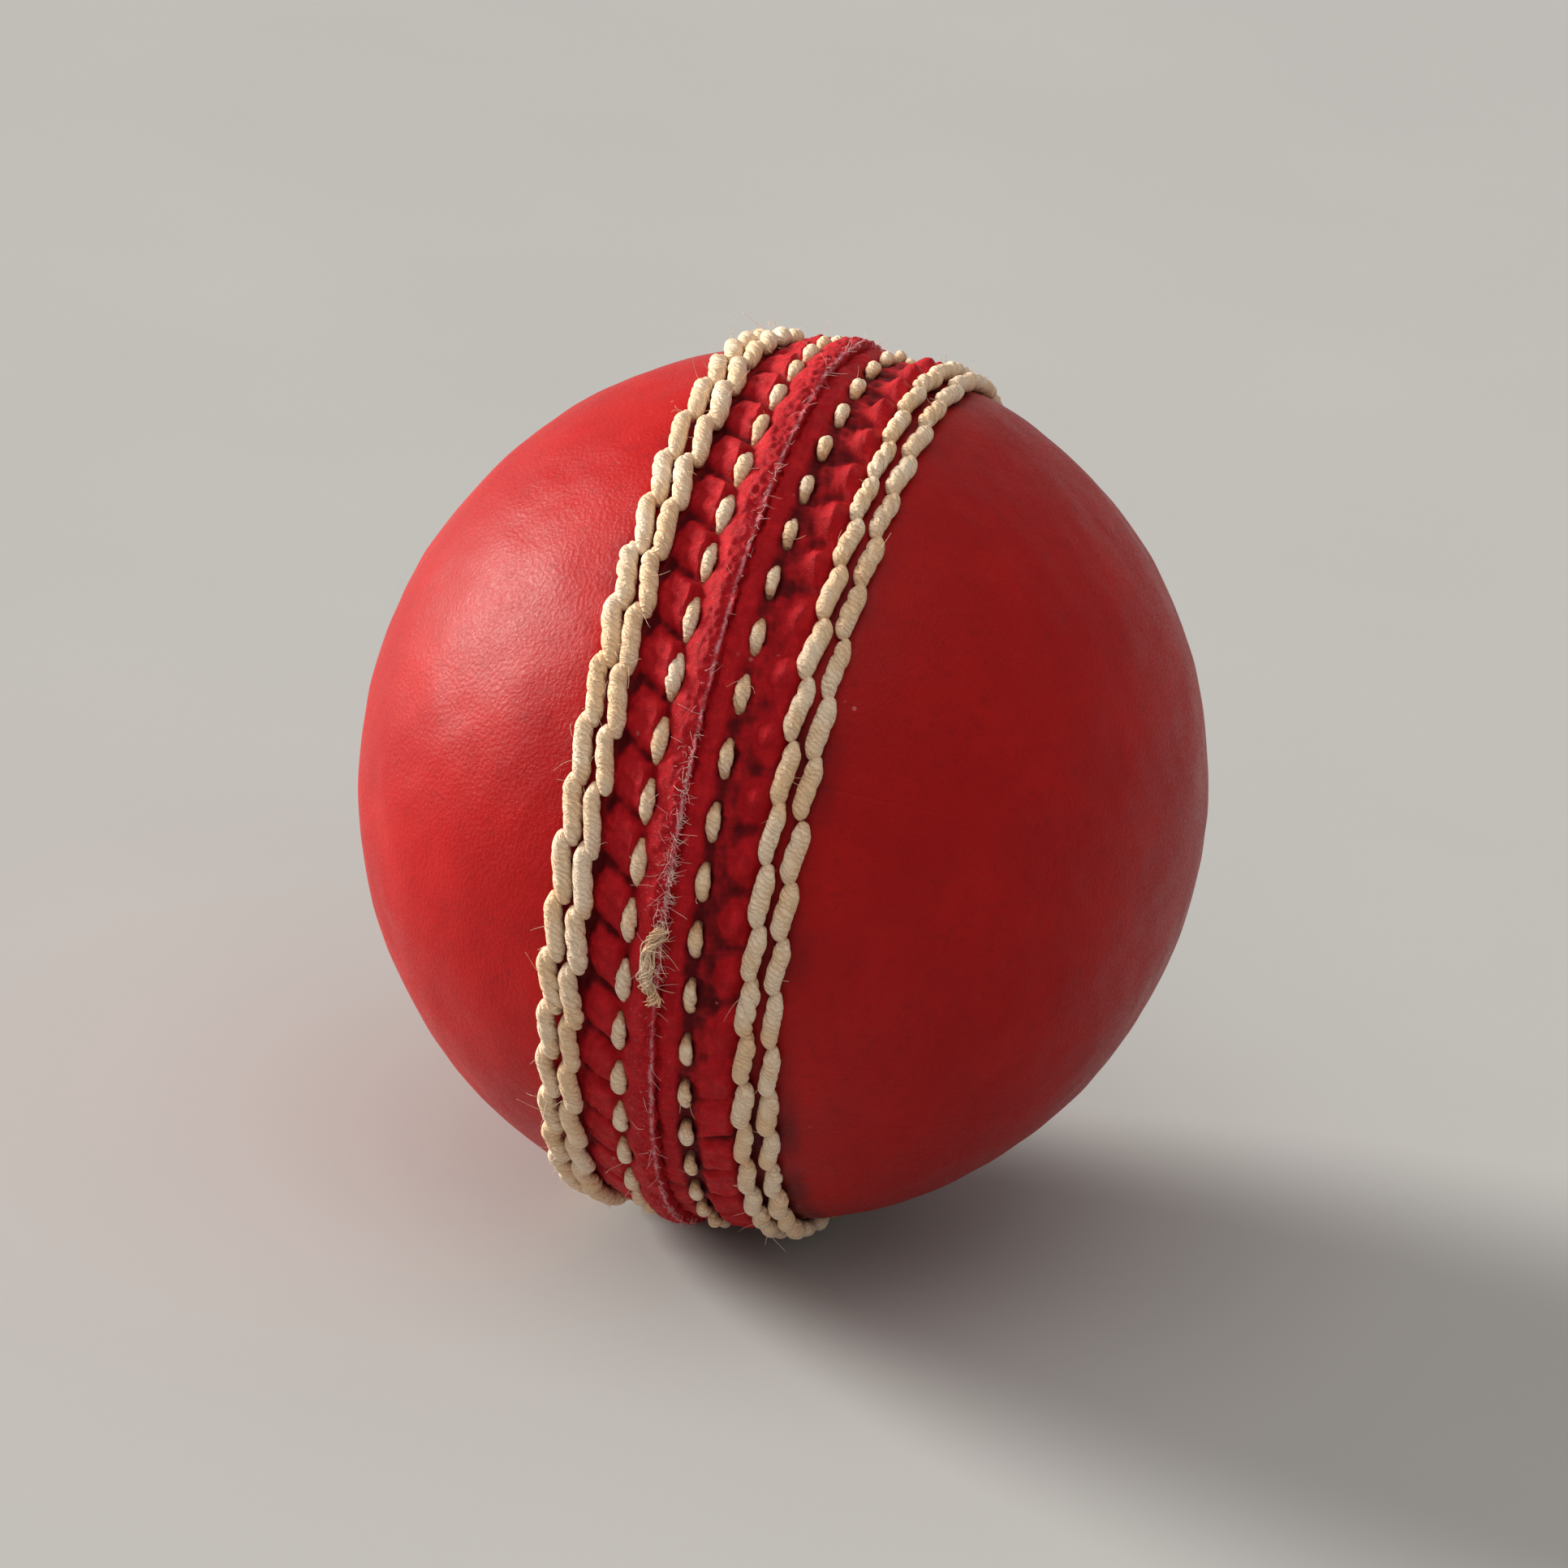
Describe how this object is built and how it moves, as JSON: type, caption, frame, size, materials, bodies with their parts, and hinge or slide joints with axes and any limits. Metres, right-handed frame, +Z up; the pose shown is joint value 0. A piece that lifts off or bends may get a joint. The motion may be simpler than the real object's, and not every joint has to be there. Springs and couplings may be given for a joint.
{
  "type": "cricket ball",
  "caption": "Hard leather ball of four quarters over a cork and yarn core, closed by a raised stitched seam round its middle.",
  "frame": {"origin": "the ball's centre, in the plane of the joint between the two cups", "axes": "+X along the axis that the seam runs round, from the left cup's pole to the right cup's; +Z up; the seam stands upright in the YZ plane"},
  "size_m": [0.0704, 0.0748, 0.0748],
  "materials": {
    "red_leather": "polished",
    "seam_thread": "waxed linen thread",
    "butt_thread": "fine silk thread",
    "yarn": "worsted yarn, wound wet",
    "cork": "raw",
    "core_rubber": "moulded cork and rubber"
  },
  "bodies": {
    "root": {"core_nut": "core_rubber", "yarn_winding_1": "yarn", "yarn_winding_2": "yarn", "yarn_winding_3": "yarn", "yarn_winding_4": "yarn", "cork_slip_1_left": "cork", "cork_slip_1_right": "cork", "cork_slip_2_front": "cork", "cork_slip_2_back": "cork", "cork_slip_3_lower": "cork", "cork_slip_3_upper": "cork", "leather_quarter_left_front": "red_leather", "leather_quarter_left_back": "red_leather", "leather_quarter_right_lower": "red_leather", "leather_quarter_right_upper": "red_leather", "quarter_stitches_left": "butt_thread", "quarter_stitches_right": "butt_thread", "seam_row_outer_left": "seam_thread", "seam_row_middle_left": "seam_thread", "seam_row_closing_left": "seam_thread", "seam_row_closing_right": "seam_thread", "seam_row_middle_right": "seam_thread", "seam_row_outer_right": "seam_thread"}
  },
  "joints": []
}
